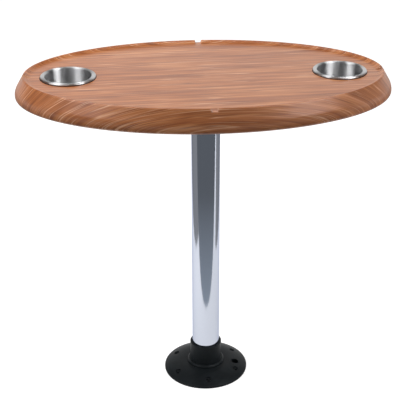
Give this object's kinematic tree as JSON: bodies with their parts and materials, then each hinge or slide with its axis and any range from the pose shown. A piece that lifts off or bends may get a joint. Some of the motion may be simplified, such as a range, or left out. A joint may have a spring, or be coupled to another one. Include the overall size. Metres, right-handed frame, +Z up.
{
  "type": "camper table",
  "caption": "Oval wood-grain camper table on one round aluminium pole, with a raised notched rim, drop-in steel cup holders and round black sockets at floor and top.",
  "frame": {"origin": "on the floor at the pole's axis, under the middle of the board", "axes": "+X along the board's length towards the right cup holder, +Y to the back, +Z up along the pole"},
  "size_m": [0.762, 0.457, 0.71],
  "materials": {
    "wood_film": "satin wood-grain film over board",
    "cup_steel": "drawn and polished stainless steel",
    "pole_aluminium": "bright polished tube",
    "black_plastic": "fine moulded texture",
    "screw_steel": "zinc plated"
  },
  "bodies": {
    "base": {"floor_base": "black_plastic"},
    "post": {"pole": "pole_aluminium"},
    "top": {"table_top": "wood_film", "cup_holder_left": "cup_steel", "cup_holder_right": "cup_steel", "top_socket": "black_plastic", "top_socket_screws": "screw_steel"}
  },
  "joints": [
    {"name": "pole_lift", "type": "slide", "parent": "base", "child": "post", "axis": [0, 0, 1], "range_m": [0, 0.08]},
    {"name": "top_swivel", "type": "hinge", "parent": "post", "child": "top", "pos_m": [0, 0, 0.658], "axis": [0, 0, 1], "continuous": true}
  ]
}
